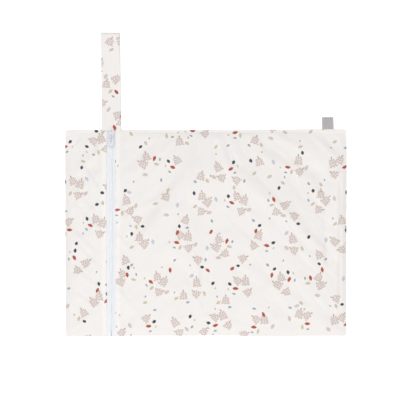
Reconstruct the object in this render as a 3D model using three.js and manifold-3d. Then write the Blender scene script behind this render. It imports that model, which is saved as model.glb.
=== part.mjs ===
import * as THREE from 'three';
import { mergeVertices } from 'three/addons/utils/BufferGeometryUtils.js';
import Module from 'manifold-3d';

// A flat cloth wet bag with a lengthwise zip, a folded carrying strap and a folded side label.
// Millimetres. The bag lies on its back on the plane z = 0, X runs across it, Y runs up to the strap.

const wasm = await Module();
wasm.setup();

// Body
const bodyWidth = 400;
const bodyHeight = 293;
const cornerRadius = 4;
const clothThickness = 1;
const clearance = 0.3;
const loft = 9; // how far the empty bag's front stands off its back in the middle
const edgeRoll = 7; // width of the rolled edge inside the seam
const edgeRollShare = 0.3; // share of the loft that the rolled edge climbs
const rimRound = 1.2; // width of the rounding at the very edge
const rimDrop = 0.35; // how much that rounding takes off the cloth
const edgeWave = 1; // how far the sewn outline wanders
const cellSize = 15; // longest side of a cell of the front cloth

// Zip
const zipInset = 65.8; // from the bag's left edge to the zip line
const zipOpening = 6.2; // from the zip line to a folded cloth edge
const tapeHalfWidth = 14;
const tapeThickness = 1;
const foldedThickness = 1.8; // doubled cloth along the zip
const bandFall = 6.5; // width over which the cloth comes down off the tape
const coilWidth = 2.1;
const coilHeight = 1.5;
const coilStart = 7; // from the bottom edge to the first coil turn

// Slider
const sliderLength = 10;
const sliderTopWidth = 9;
const sliderBottomWidth = 7.6;
const sliderTopGap = 2.7; // from the bag's top edge to the slider
const upperPlate = 0.8;
const lowerPlate = 0.7;
const flangeWidth = 0.7;
const dividerWidth = 1.4;
const dividerLength = 2.2;
const bridgeWidth = 1.6;
const bridgeRadius = 2; // outside of the arch
const bridgeWall = 1.1;
const pivotOffset = -2.6; // from the slider's middle to the pull's cross bar

// Pull
const pullLength = 15;
const pullWidth = 7.8;
const pullThickness = 1;
const pullBevel = 0.2;
const pullSlotWidth = 4.2;
const pullSlotLength = 9.5;

// Strap and label
const strapWidth = 27;
const strapLength = 137.5;
const strapThickness = 1.2;
const strapFoldGap = 5.2; // inside its folded end
const strapLean = -1.4;
const strapFlare = 0.7; // how much wider each side is at the seam
const labelWidth = 16;
const labelLength = 16.3;
const labelPly = 1;
const labelInset = 26.4; // from the bag's right edge to the label's middle
const labelTilt = 0.035; // radians

const left = -bodyWidth / 2;
const right = bodyWidth / 2;
const top = bodyHeight / 2;
const bottom = -bodyHeight / 2;
const zipOffset = left + zipInset; // from the middle of the body
const labelOffset = right - labelInset;
const frontBase = clothThickness + clearance;
const zipStart = top - sliderTopGap + clearance; // the zip's bed is straight from here
const zipEnd = top - sliderTopGap - sliderLength - 3; // to here
const bandEdge = tapeHalfWidth + 2 * clearance;

// The sewn outline wanders a little: shares of the half side along it, shares of edgeWave across it
const outline = {
  top: [
    { along: -1, out: -0.1 }, { along: -0.45, out: 0.2 }, { along: 0, out: -0.2 },
    { along: 0.4, out: 0.1 }, { along: 0.75, out: 0.9 }, { along: 1, out: 0.8 },
  ],
  bottom: [
    { along: -1, out: 0.6 }, { along: -0.85, out: 0 }, { along: -0.67, out: 1 },
    { along: -0.45, out: -0.5 }, { along: -0.2, out: 0.3 }, { along: 0.1, out: -0.8 },
    { along: 0.3, out: 0.3 }, { along: 1, out: 0.1 },
  ],
  left: [{ along: -1, out: -0.4 }, { along: 0, out: 0 }, { along: 1, out: 0.3 }],
  right: [
    { along: -1, out: -0.4 }, { along: 0, out: -0.2 }, { along: 0.3, out: 0.4 }, { along: 1, out: 0.3 },
  ],
};

// Soft folds of the front: ends as shares of the half width and half height, the half width of the
// fold as a share of the body's height, and its height (or depth, below zero) as a share of the loft
const folds = [
  { x1: -0.42, y1: -0.08, x2: -0.1, y2: 0.58, width: 0.062, rise: 0.24 },
  { x1: 0.12, y1: 0.52, x2: 0.62, y2: 0.08, width: 0.058, rise: 0.24 },
  { x1: -0.58, y1: 0.1, x2: -0.25, y2: 0.42, width: 0.05, rise: -0.2 },
  { x1: -0.56, y1: 0.58, x2: -0.28, y2: 0.92, width: 0.05, rise: -0.22 },
  { x1: -0.05, y1: 0.3, x2: 0.25, y2: -0.3, width: 0.09, rise: -0.14 },
  { x1: 0.38, y1: 0.86, x2: 0.78, y2: 0.55, width: 0.045, rise: -0.24 },
  { x1: 0.55, y1: 0.92, x2: 0.92, y2: 0.6, width: 0.035, rise: 0.16 },
  { x1: 0.84, y1: 0.35, x2: 0.86, y2: -0.45, width: 0.04, rise: -0.16 },
  { x1: -0.3, y1: -0.3, x2: 0.05, y2: -0.42, width: 0.07, rise: -0.12 },
  { x1: -0.5, y1: -0.72, x2: 0.55, y2: -0.82, width: 0.05, rise: 0.1 },
  { x1: -0.95, y1: 0.55, x2: -0.8, y2: 0.28, width: 0.026, rise: 0.16 },
  { x1: -0.94, y1: 0.12, x2: -0.8, y2: -0.1, width: 0.026, rise: 0.16 },
  { x1: -0.93, y1: -0.3, x2: -0.8, y2: -0.5, width: 0.03, rise: 0.1 },
];

function smooth(t) {
  const s = Math.min(Math.max(t, 0), 1);
  return s * s * (3 - 2 * s);
}

// Value of a table of { along, out } rows, straight between them
function fromTable(rows, along) {
  const share = Math.min(Math.max(along, -1), 1);
  const next = Math.max(rows.findIndex((row) => row.along >= share), 1);
  const [a, b] = [rows[next - 1], rows[next]];
  return a.out + (b.out - a.out) * ((share - a.along) / (b.along - a.along));
}

// How far the front has climbed at a distance from an edge, as a share of the loft
function climb(distance, half) {
  const crown = 1 - Math.max(1 - distance / half, 0) ** 2.5;
  return edgeRollShare * smooth(distance / edgeRoll) + (1 - edgeRollShare) * crown;
}

function foldHeight(x, y) {
  let height = 0;
  for (const fold of folds) {
    const start = new THREE.Vector2(fold.x1 * right, fold.y1 * top);
    const end = new THREE.Vector2(fold.x2 * right, fold.y2 * top);
    const run = end.clone().sub(start);
    const point = new THREE.Vector2(x, y).sub(start);
    const along = Math.min(Math.max(point.dot(run) / run.lengthSq(), 0), 1);
    const away = point.sub(run.multiplyScalar(along)).length() / (fold.width * bodyHeight);
    height += fold.rise * loft * Math.exp(-away * away);
  }
  return height;
}

function edgeDistances(x, y) {
  return [Math.min(x - left, right - x), Math.min(top - y, y - bottom)];
}

function crownHeight(x, y) {
  const [across, along] = edgeDistances(x, y);
  return loft * climb(across, right) * climb(along, top);
}

// The zip lies on a bed that is level across and straight where the slider holds it
function zipBed(y) {
  const room = lowerPlate + clearance;
  const startHeight = Math.max(crownHeight(zipOffset, zipStart), room);
  const endHeight = Math.max(crownHeight(zipOffset, zipEnd), room);
  if (y > zipStart) {
    return startHeight * (top - y) / (top - zipStart);
  }
  if (y > zipEnd) {
    return startHeight + (endHeight - startHeight) * (zipStart - y) / (zipStart - zipEnd);
  }
  const carried = endHeight - crownHeight(zipOffset, zipEnd);
  return crownHeight(zipOffset, y) + carried * smooth((y - bottom) / (zipEnd - bottom));
}

// Height of the front cloth's underside above the back cloth and its clearance
function frontRise(x, y) {
  const free = smooth((Math.abs(x - zipOffset) - bandEdge) / (4 * bandFall));
  const margin = Math.min(...edgeDistances(x, y));
  const cloth = crownHeight(x, y) + foldHeight(x, y) * smooth(margin / (4 * edgeRoll));
  return Math.max(zipBed(y) * (1 - free) + cloth * free, 0);
}

// Carries a point of the square-cornered plan to the bag's own wandering, round-cornered outline
function toOutline(x, y) {
  const [across, along] = edgeDistances(x, y);
  const inset = (distance) => {
    const deep = Math.max(cornerRadius - distance, 0);
    return cornerRadius - Math.sqrt(cornerRadius ** 2 - deep ** 2);
  };
  const tuck = inset(along) * smooth(1 - across / (5 * cornerRadius));
  const upward = (y - bottom) / bodyHeight;
  const rightward = (x - left) / bodyWidth;
  const topShift = fromTable(outline.top, x / right) * edgeWave;
  const bottomShift = -fromTable(outline.bottom, x / right) * edgeWave;
  const rightShift = fromTable(outline.right, y / top) * edgeWave;
  const leftShift = -fromTable(outline.left, y / top) * edgeWave;
  return [
    x - Math.sign(x) * tuck + rightShift * rightward + leftShift * (1 - rightward),
    y + topShift * upward + bottomShift * (1 - upward),
  ];
}

function rimLoss(x, y) {
  return Math.min(...edgeDistances(x, y)) < rimRound / 2 ? rimDrop : 0;
}

// Evenly spaced values from start to end, both included, no further apart than the step
function spaced(start, end, step) {
  const count = Math.max(Math.ceil(Math.abs(end - start) / step), 1);
  return Array.from({ length: count + 1 }, (_, i) => start + ((end - start) * i) / count);
}

const edgeSteps = [0, rimRound, edgeRoll / 2, edgeRoll, 2 * edgeRoll];
const rows = [
  ...edgeSteps.map((step) => bottom + step).slice(0, -1),
  ...spaced(bottom + 2 * edgeRoll, zipEnd, cellSize),
  (zipStart + zipEnd) / 2, zipStart, top - rimRound, top,
];

function closed(geometry) {
  geometry.deleteAttribute('normal');
  geometry.deleteAttribute('uv');
  return mergeVertices(geometry);
}

function piece(name, geometry, material) {
  geometry.computeVertexNormals();
  const mesh = new THREE.Mesh(geometry, material);
  mesh.name = name;
  return mesh;
}

// A layer of cloth: a box one cell thick whose corners go to the given columns, rows and heights
function layer(columns, layerRows, place) {
  const cells = [columns.length - 1, layerRows.length - 1];
  const geometry = closed(new THREE.BoxGeometry(1, 1, 1, ...cells, 1));
  const spots = geometry.attributes.position;
  for (let i = 0; i < spots.count; i++) {
    const x = columns[Math.round((spots.getX(i) + 0.5) * cells[0])];
    const y = layerRows[Math.round((spots.getY(i) + 0.5) * cells[1])];
    spots.setXYZ(i, ...place(x, y, spots.getZ(i) > 0));
  }
  return geometry;
}

function backPanel() {
  const middle = spaced(left + 2 * edgeRoll, right - 2 * edgeRoll, 3 * cellSize);
  const columns = [left, left + rimRound, left + edgeRoll / 2, ...middle];
  columns.push(right - edgeRoll / 2, right - rimRound, right);
  const place = (x, y, upper) => [...toOutline(x, y), upper ? clothThickness : rimLoss(x, y)];
  const short = rows.filter((y) => Math.abs(y) > top - edgeRoll || rows.indexOf(y) % 3 === 0);
  return layer(columns, short, place);
}

// Height by which a front panel rides up over the zip tape, and its thickness there
function overTape(away) {
  return (tapeThickness + clearance) * (1 - smooth((away - bandEdge) / bandFall));
}

function clothAt(away) {
  const foldEnd = bandEdge - 1.6;
  return clothThickness + (foldedThickness - clothThickness) * (1 - smooth((away - foldEnd) / 1.6));
}

// A front panel: side is 1 on the right of the zip and -1 on the left
function frontPanel(side) {
  const width = side > 0 ? right - zipOffset : zipOffset - left;
  const overZip = [zipOpening, zipOpening + rimRound, bandEdge - 1.6, bandEdge, bandEdge + bandFall / 2];
  const open = spaced(bandEdge + bandFall, width - 2 * edgeRoll, cellSize);
  const rolled = edgeSteps.slice(0, -1).map((step) => width - step).reverse();
  const columns = [...overZip, ...open, ...rolled].map((away) => zipOffset + side * away);
  columns.sort((a, b) => a - b);
  return layer(columns, rows, (x, y, upper) => {
    const away = Math.abs(x - zipOffset);
    const under = frontBase + frontRise(x, y) + overTape(away);
    const foldRound = away < zipOpening + rimRound / 2 ? rimDrop : 0;
    const over = under + clothAt(away) - Math.max(rimLoss(x, y), foldRound);
    return [...toOutline(x, y), upper ? over : under];
  });
}

// The divider parts the coil rows and the tapes inside the slider, up to the zip's top end
const sliderMiddle = top - sliderTopGap - sliderLength / 2;
const parting = dividerWidth / 2 + clearance / 2;
const zipRows = rows.filter((y) => y < zipEnd + clearance);
zipRows.push(...spaced(sliderMiddle - 0.35 * sliderLength, sliderMiddle + 0.25 * sliderLength, 1.5));
zipRows.push(...rows.filter((y) => y >= zipStart));

function partedBy(y) {
  return clearance / 2 + parting * smooth((y - sliderMiddle + 0.2 * sliderLength) / (0.4 * sliderLength));
}

function zipStrip(side, inner, outer, base, height, stripRows, parted) {
  const columns = side > 0 ? [inner, outer] : [-outer, -inner];
  return layer(columns, stripRows, (offset, y, upper) => {
    const shift = Math.abs(offset) === inner || parted ? side * partedBy(y) : 0;
    const [planX, planY] = toOutline(zipOffset + offset, y);
    return [planX + shift, planY, frontBase + zipBed(y) + base + (upper ? height : 0)];
  });
}

function zipTape(side) {
  return zipStrip(side, 0.01, tapeHalfWidth, 0, tapeThickness, zipRows, false);
}

function zipCoil(side) {
  const held = zipRows.filter((y) => y > bottom + coilStart - clearance && y < top);
  return zipStrip(side, 0.01, coilWidth, tapeThickness + clearance, coilHeight, held, true);
}

function solid(geometry) {
  const merged = closed(geometry);
  return new wasm.Manifold(new wasm.Mesh({
    numProp: 3,
    vertProperties: new Float32Array(merged.attributes.position.array),
    triVerts: new Uint32Array(merged.index.array),
  }));
}

function fromSolid(manifold) {
  const { vertProperties, triVerts } = manifold.getMesh();
  const geometry = new THREE.BufferGeometry();
  geometry.setAttribute('position', new THREE.BufferAttribute(new Float32Array(vertProperties), 3));
  geometry.setIndex(new THREE.BufferAttribute(new Uint32Array(triVerts), 1));
  return geometry;
}

// Slider frame: the middle of the slider on the tape's upper face, Y along the zip, Z off the cloth
const plateUnder = clearance + coilHeight + clearance;
const plateTop = plateUnder + upperPlate;
const pivotHeight = plateTop + bridgeWall;

function sliderHalfWidth(y) {
  const share = (y + sliderLength / 2) / sliderLength;
  return (sliderBottomWidth + (sliderTopWidth - sliderBottomWidth) * share) / 2;
}

function plateOutline(margin) {
  const end = sliderLength / 2 - margin;
  const [low, high] = [sliderHalfWidth(-end) - margin, sliderHalfWidth(end) - margin];
  const shape = new THREE.Shape();
  shape.moveTo(-low * 0.6, -end);
  shape.lineTo(low * 0.6, -end);
  shape.quadraticCurveTo(low, -end, sliderHalfWidth(-end / 2) - margin, -end / 2);
  shape.lineTo(high, end * 0.7);
  shape.quadraticCurveTo(high, end, high * 0.7, end);
  shape.lineTo(-high * 0.7, end);
  shape.quadraticCurveTo(-high, end, -high, end * 0.7);
  shape.lineTo(-(sliderHalfWidth(-end / 2) - margin), -end / 2);
  shape.quadraticCurveTo(-low, -end, -low * 0.6, -end);
  return shape;
}

function plate(base, thickness, margin, bevel) {
  const geometry = new THREE.ExtrudeGeometry(plateOutline(margin), {
    depth: thickness - 2 * bevel, bevelEnabled: bevel > 0, bevelThickness: bevel, bevelSize: bevel,
    bevelOffset: -bevel, bevelSegments: 1, curveSegments: 4,
  });
  return solid(geometry.translate(0, 0, base + bevel));
}

function prism(points, base, height) {
  const shape = new THREE.Shape(points.map(([x, y]) => new THREE.Vector2(x, y)));
  return solid(new THREE.ExtrudeGeometry(shape, { depth: height, bevelEnabled: false }).translate(0, 0, base));
}

function flange(side) {
  const [low, high] = [-0.3 * sliderLength, 0.33 * sliderLength];
  const inset = 0.05;
  const points = [
    [sliderHalfWidth(low) - inset - flangeWidth, low], [sliderHalfWidth(low) - inset, low],
    [sliderHalfWidth(high) - inset, high], [sliderHalfWidth(high) - inset - flangeWidth, high],
  ].map(([x, y]) => [side * x, y]);
  return prism(side > 0 ? points : points.reverse(), clearance, plateUnder + upperPlate / 2 - clearance);
}

function divider() {
  const high = 0.48 * sliderLength;
  const low = high - dividerLength;
  const half = dividerWidth / 2;
  const points = [[0, low], [half, (low + high) / 2], [half, high], [-half, high], [-half, (low + high) / 2]];
  const base = -tapeThickness - clearance - lowerPlate / 2;
  return prism(points, base, plateUnder + upperPlate / 2 - base);
}

// An arch over the cross bar, standing on the upper plate
function bridge() {
  const shape = new THREE.Shape();
  const foot = upperPlate / 2 - pivotHeight + plateUnder;
  const innerRadius = bridgeRadius - bridgeWall;
  shape.moveTo(-bridgeRadius, foot);
  shape.lineTo(-innerRadius, foot);
  shape.lineTo(-innerRadius, 0);
  shape.absarc(0, 0, innerRadius, Math.PI, 0, true);
  shape.lineTo(innerRadius, foot);
  shape.lineTo(bridgeRadius, foot);
  shape.lineTo(bridgeRadius, 0);
  shape.absarc(0, 0, bridgeRadius, 0, Math.PI, false);
  const geometry = new THREE.ExtrudeGeometry(shape, { depth: bridgeWidth, bevelEnabled: false, curveSegments: 8 });
  geometry.translate(0, 0, -bridgeWidth / 2).applyMatrix4(alongX);
  return solid(geometry.translate(0, pivotOffset, pivotHeight));
}

// Turns a profile drawn in (Y, Z) and extruded into one that runs along X
const alongX = new THREE.Matrix4().makeBasis(
  new THREE.Vector3(0, 1, 0), new THREE.Vector3(0, 0, 1), new THREE.Vector3(1, 0, 0),
);

function sliderBody() {
  return fromSolid(
    plate(plateUnder, upperPlate, 0, 0.2)
      .add(plate(-tapeThickness - clearance - lowerPlate, lowerPlate, 0.3, 0))
      .add(flange(1)).add(flange(-1)).add(divider()).add(bridge()),
  );
}

// The tab hangs from its cross bar, which is the end of the tab above its long pointed slot
function pullTab() {
  const bar = pullThickness / 2;
  const half = pullWidth / 2;
  const slot = pullSlotWidth / 2;
  const shape = new THREE.Shape();
  shape.moveTo(-half * 0.74, bar);
  shape.lineTo(-half * 0.82, bar * 0.4);
  shape.lineTo(-half, -0.62 * pullLength);
  shape.lineTo(-half, -0.8 * pullLength);
  shape.quadraticCurveTo(-half, -pullLength, 0, -pullLength);
  shape.quadraticCurveTo(half, -pullLength, half, -0.8 * pullLength);
  shape.lineTo(half, -0.62 * pullLength);
  shape.lineTo(half * 0.82, bar * 0.4);
  shape.lineTo(half * 0.74, bar);
  const hole = new THREE.Path();
  hole.moveTo(-slot * 0.8, -bar);
  hole.lineTo(slot * 0.8, -bar);
  hole.lineTo(slot, -0.35 * pullSlotLength);
  hole.quadraticCurveTo(slot * 0.8, -0.75 * pullSlotLength, 0, -pullSlotLength);
  hole.quadraticCurveTo(-slot * 0.8, -0.75 * pullSlotLength, -slot, -0.35 * pullSlotLength);
  shape.holes.push(hole);
  const geometry = new THREE.ExtrudeGeometry(shape, {
    depth: pullThickness - 2 * pullBevel, bevelEnabled: true, bevelThickness: pullBevel,
    bevelSize: pullBevel, bevelOffset: -pullBevel, bevelSegments: 1, curveSegments: 6,
  });
  return closed(geometry.translate(0, pivotOffset, pivotHeight - pullThickness / 2 + pullBevel));
}

// A ribbon folded over at its far end, from the seam at the near end: the rows give shares of its
// length, the gap between its two layers as a share of the fold's, and a lift as a share of a layer
function foldedRibbon(width, length, thickness, foldGap, waves) {
  const foldRadius = foldGap / 2 + thickness;
  const straight = length - foldRadius;
  const lift = (wave) => wave.lift * thickness;
  const gap = (wave) => clearance + (foldGap - clearance) * wave.gap;
  const shape = new THREE.Shape();
  const points = waves.map((wave) => ({ y: wave.along * straight, base: lift(wave), gap: gap(wave) }));
  shape.moveTo(points[0].y, points[0].base);
  points.slice(1).forEach((p) => shape.lineTo(p.y, p.base));
  shape.absarc(straight, foldRadius, foldRadius, -Math.PI / 2, Math.PI / 2, false);
  points.toReversed().forEach((p) => shape.lineTo(p.y, p.base + 2 * thickness + p.gap));
  points.forEach((p) => shape.lineTo(p.y, p.base + thickness + p.gap));
  shape.absarc(straight, foldRadius, foldGap / 2, Math.PI / 2, -Math.PI / 2, true);
  points.toReversed().forEach((p) => shape.lineTo(p.y, p.base + thickness));
  const geometry = new THREE.ExtrudeGeometry(shape, {
    depth: width, steps: 2, bevelEnabled: false, curveSegments: 6,
  });
  return closed(geometry.translate(0, 0, -width / 2).applyMatrix4(alongX));
}

const strapWaves = [
  { along: 0, gap: 0, lift: 0.3 }, { along: 0.07, gap: 0.02, lift: 0.5 },
  { along: 0.14, gap: 0.06, lift: 0.2 }, { along: 0.22, gap: 0.04, lift: 0.55 },
  { along: 0.3, gap: 0.08, lift: 0.15 }, { along: 0.4, gap: 0.12, lift: 0.05 },
  { along: 0.5, gap: 0.2, lift: 0 }, { along: 0.6, gap: 0.34, lift: 0 }, { along: 0.7, gap: 0.55, lift: 0 },
  { along: 0.8, gap: 0.8, lift: 0 }, { along: 0.88, gap: 0.96, lift: 0 }, { along: 1, gap: 1, lift: 0 },
];
const labelWaves = [
  { along: 0, gap: 0, lift: 0.5 }, { along: 0.35, gap: 0.3, lift: 0.35 },
  { along: 0.7, gap: 0.7, lift: 0.1 }, { along: 1, gap: 1, lift: 0 },
];
const labelFoldGap = 1.2;

// Where the seam's outer edge is highest under a piece that is as wide as this
function seamOver(x, width) {
  const across = spaced(x - width / 2, x + width / 2, width / 4);
  return Math.max(...across.map((place) => toOutline(place, top)[1]));
}

function strap() {
  const geometry = foldedRibbon(strapWidth, strapLength, strapThickness, strapFoldGap, strapWaves);
  const spots = geometry.attributes.position;
  for (let i = 0; i < spots.count; i++) {
    const share = spots.getY(i) / strapLength;
    const flare = 1 + (2 * strapFlare * (0.5 - share)) / strapWidth;
    spots.setX(i, spots.getX(i) * flare + strapLean * share ** 2);
  }
  return geometry.translate(zipOffset, seamOver(zipOffset, strapWidth + 2 * strapFlare) + clearance, 0);
}

function label() {
  const geometry = foldedRibbon(labelWidth, labelLength, labelPly, labelFoldGap, labelWaves);
  geometry.rotateZ(labelTilt);
  const seam = seamOver(labelOffset, labelWidth) + clearance + (labelWidth / 2) * Math.sin(labelTilt);
  return geometry.translate(labelOffset, seam, 0);
}

const cloth = new THREE.MeshStandardMaterial({ color: 0xf0ece9, roughness: 0.85 });
const tape = new THREE.MeshStandardMaterial({ color: 0xe9edf4, roughness: 0.9 });
const coil = new THREE.MeshStandardMaterial({ color: 0xe3e7ee, roughness: 0.45 });
const sliderPaint = new THREE.MeshStandardMaterial({ color: 0xdedde6, roughness: 0.35, metalness: 0.1 });
const labelWeave = new THREE.MeshStandardMaterial({ color: 0xc3bfbf, roughness: 0.9 });

const bag = new THREE.Group();
bag.add(
  piece('back_panel', backPanel(), cloth),
  piece('front_panel', frontPanel(1), cloth),
  piece('zip_side_panel', frontPanel(-1), cloth),
  piece('zip_tape_left', zipTape(-1), tape),
  piece('zip_tape_right', zipTape(1), tape),
  piece('zip_coil_left', zipCoil(-1), coil),
  piece('zip_coil_right', zipCoil(1), coil),
  piece('strap_loop', strap(), cloth),
  piece('side_label', label(), labelWeave),
);

// The slider and its pull sit on the zip's bed and lean with it
const zipHardware = new THREE.Group();
zipHardware.add(
  piece('zip_slider', sliderBody(), sliderPaint),
  piece('zip_pull', pullTab(), sliderPaint),
);
const bedSlope = Math.atan2(zipBed(zipStart) - zipBed(zipEnd), zipStart - zipEnd);
const [sliderX, sliderY] = toOutline(zipOffset, sliderMiddle);
zipHardware.position.set(sliderX, sliderY, frontBase + zipBed(sliderMiddle) + tapeThickness);
zipHardware.rotation.x = bedSlope;
bag.add(zipHardware);

// The origin is under the middle of the whole bag, strap included
bag.updateMatrixWorld(true);
const reach = new THREE.Box3().setFromObject(bag, true);
bag.position.set(-(reach.min.x + reach.max.x) / 2, -(reach.min.y + reach.max.y) / 2, -reach.min.z);

export default bag;
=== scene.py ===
"""A cloth wet bag lying flat: printed walls, a coil zip with its slider, a folded strap and a label."""

import math

import bmesh
import bpy
import numpy as np
from bpy.props import FloatProperty, FloatVectorProperty, PointerProperty
from mathutils import Matrix, Vector, noise
from mathutils.bvhtree import BVHTree


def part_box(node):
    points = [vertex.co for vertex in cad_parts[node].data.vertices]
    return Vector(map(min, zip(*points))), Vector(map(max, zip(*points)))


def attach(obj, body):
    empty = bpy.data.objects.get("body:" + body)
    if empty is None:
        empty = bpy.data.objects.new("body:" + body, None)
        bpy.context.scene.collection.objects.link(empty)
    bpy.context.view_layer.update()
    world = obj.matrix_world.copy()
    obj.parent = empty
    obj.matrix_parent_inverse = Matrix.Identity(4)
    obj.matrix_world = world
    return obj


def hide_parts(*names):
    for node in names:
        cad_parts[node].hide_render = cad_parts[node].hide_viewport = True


bl_info = {
    "name": "Cloth Wet Bag",
    "version": (1, 0, 0),
    "blender": (4, 5, 0),
    "location": "View3D > Sidebar > Wet Bag",
    "description": "Models a printed cloth wet bag with a coil zip, a strap and a side label",
    "category": "Object",
}

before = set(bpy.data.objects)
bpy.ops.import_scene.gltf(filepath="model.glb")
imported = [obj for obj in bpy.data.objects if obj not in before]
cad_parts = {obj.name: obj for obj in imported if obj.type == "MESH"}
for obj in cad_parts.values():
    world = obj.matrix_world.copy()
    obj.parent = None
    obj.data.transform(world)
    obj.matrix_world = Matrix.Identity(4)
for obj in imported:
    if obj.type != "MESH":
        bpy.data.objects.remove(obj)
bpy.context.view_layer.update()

MM = 0.001
RIGHT, LEFT = 1, -1
SIDE_NAMES = {RIGHT: "right", LEFT: "left"}
INKS = ("Brick", "Night", "Sand", "Mist", "Lilac", "Blush", "Rose", "Pencil")

# Distances from an edge at which the cloth's mesh lines stand
RIM_LINES = np.array([0, 0.12, 0.3, 0.55, 0.85, 1.2, 1.65, 2.2, 2.9, 3.7, 4.7, 6.0]) * MM
# Beside the strap and the label: the back's mesh lines, how far the front's lifting reaches, the back's lip
ROOT_LINES = np.array([0.05, 0.3, 0.8, 1.4, 2.0]) * MM
ROOT_REACH = 2.4 * MM
ROOT_LIP = 0.28 * MM
# Height at which the long edges of the strap and the label are measured
RIBBON_LOW = 0.9 * MM
TAPE_WALL = 0.7 * MM
STRAP_WALL = 1.2 * MM
LABEL_WALL = 0.9 * MM
# How far the tape drops where the cloth covers it, at its ends and more between them
TAPE_DROP = 0.25 * MM
TAPE_MIDDLE_DROP = 0.85 * MM
# How much the turned-under cloth falls away from the fold
FOLD_SLOPE = 0.14
# How far the middles of stitches stand above the cloth's upper side, and inside its underside
UPPER_STITCH = 0.03 * MM
UNDER_STITCH = 0.08 * MM
# Lights: place seen from the body's middle, and size
LIGHTS = (("key", (-0.12, 0.1, 2.6), 3.6), ("side", (-0.2, -2.3, 1.1), 1.6))
# Where the camera stands beside the body's middle
CAMERA_X = 3.0 * MM
CAMERA_Y = 35.4 * MM

# The print's motifs in millimetres and radians, as leaves (ink, place, turn, half sizes, and the share of
# posies that show it) and sprigs (place, turn, half length, share)
PRINT_POSY = (
    (
        ("Brick", (12, -2), 1.1, (4.4, 2.3), 0.62),
        ("Night", (17, 7), 0.5, (3.3, 2.3), 0.6),
        ("Sand", (9, -10), -0.6, (4.2, 2.1), 0.75),
        ("Mist", (17, -8), 0.9, (2.8, 1.5), 0.7),
        ("Lilac", (-15, 10), 0.7, (4.2, 2.4), 0.4),
        ("Blush", (-13, -11), -0.9, (4.4, 2.5), 0.6),
        ("Sand", (22, 1), 0.2, (2.1, 1.3), 0.6),
    ),
    (
        ((-6, 3), -0.35, 8.6, 0.9),
        ((5, 8), 0.4, 7.6, 0.75),
        ((-3, -13), -1.2, 7.0, 0.5),
    ),
)
PRINT_SCATTER = (
    (
        ("Mist", (-12, 4), -0.7, (3.0, 1.8), 0.6),
        ("Night", (-3, -3), 1.0, (3.1, 2.2), 0.5),
        ("Sand", (5, 1), -0.4, (3.8, 2.2), 0.6),
        ("Brick", (-8, -11), 0.3, (4.2, 2.2), 0.35),
        ("Mist", (11, 7), 0.5, (2.0, 1.2), 0.6),
        ("Rose", (4, -9), 1.3, (2.0, 1.1), 0.4),
    ),
    (
        ((-2, 10), 0.5, 7.4, 0.5),
    ),
)

# Soft creases of the front: start and end as shares of the half body, half widths on the left and the right
# of the run between them, and height, in millimetres
CREASES = (
    ((-0.47, -0.14), (-0.10, 0.64), (9, 13), 2.3),
    ((-0.62, 0.10), (-0.24, 0.40), (5, 7), 1.3),
    ((-0.62, 0.50), (-0.22, 0.90), (9, 8), 1.9),
    ((0.06, 0.72), (0.36, 0.46), (9, 12), 1.8),
    ((0.36, 0.46), (0.66, 0.08), (7, 11), 2.3),
    ((0.34, 0.80), (0.74, 0.52), (8, 7), 2.0),
    ((0.74, 0.52), (0.84, 0.26), (6, 6), 1.3),
    ((0.76, 0.93), (0.95, 0.70), (5, 5), 1.3),
    ((0.50, 0.95), (0.70, 0.80), (5, 7), 1.2),
    ((0.14, 0.36), (0.30, 0.16), (7, 8), -1.2),
    ((-0.16, 0.36), (0.02, 0.06), (8, 9), -1.0),
    ((-0.30, -0.12), (-0.02, -0.34), (9, 9), 1.0),
    ((0.10, -0.20), (0.34, -0.52), (8, 9), -0.9),
    ((-0.92, 0.74), (-0.74, 0.36), (3.4, 4.6), 1.9),
    ((-0.90, 0.92), (-0.84, 0.66), (4.0, 6.0), 1.7),
    ((-0.96, 0.46), (-0.76, 0.14), (2.8, 3.8), 1.7),
    ((-0.93, 0.28), (-0.80, 0.06), (2.4, 3.0), 1.2),
    ((-0.86, 0.20), (-0.74, 0.00), (2.4, 3.2), 1.4),
    ((-0.96, 0.04), (-0.78, -0.20), (3.0, 4.0), 1.7),
    ((-0.90, -0.14), (-0.76, -0.34), (2.6, 3.4), 1.4),
    ((-0.96, -0.32), (-0.78, -0.52), (3.0, 4.0), 1.5),
    ((-0.93, -0.60), (-0.76, -0.72), (3.2, 4.4), 1.3),
    ((-0.94, -0.92), (-0.80, -0.78), (3.2, 3.8), 1.1),
    ((-0.79, 0.68), (-0.74, 0.92), (3.0, 3.6), 1.3),
    ((-0.66, 0.34), (-0.55, 0.10), (3.0, 4.4), 1.4),
    ((-0.66, 0.02), (-0.54, -0.16), (3.0, 4.0), 1.2),
    ((-0.66, -0.50), (-0.50, -0.76), (3.4, 4.6), 1.4),
    ((-0.63, -0.26), (-0.52, -0.44), (3.0, 4.0), 1.2),
    ((0.93, 0.55), (0.93, -0.94), (1.8, 2.2), 0.8),
    ((0.955, 0.80), (0.955, -0.94), (1.4, 1.4), -0.5),
    ((0.85, 0.20), (0.875, -0.40), (6, 5), -1.4),
    ((0.72, -0.02), (0.86, -0.20), (5, 6), 0.9),
    ((-0.47, -0.80), (-0.36, -0.92), (3, 3.4), 0.8),
    ((-0.28, -0.88), (-0.10, -0.80), (4, 4), 0.8),
    ((-0.02, -0.80), (0.30, -0.90), (4.5, 5), 1.0),
    ((0.40, -0.86), (0.62, -0.80), (4, 4.6), 0.8),
    ((-0.40, -0.66), (-0.06, -0.48), (8, 9), 1.0),
    ((0.31, -0.62), (0.80, -0.38), (9, 10), 1.1),
)


def linear(*srgb):
    """Linear colour of an 8-bit one."""
    return tuple(
        value / 255 / 12.92 if value <= 10 else ((value / 255 + 0.055) / 1.055) ** 2.4 for value in srgb
    )


def length(name, description, millimetres):
    return FloatProperty(name=name, description=description, default=millimetres * MM, unit="LENGTH")


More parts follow.
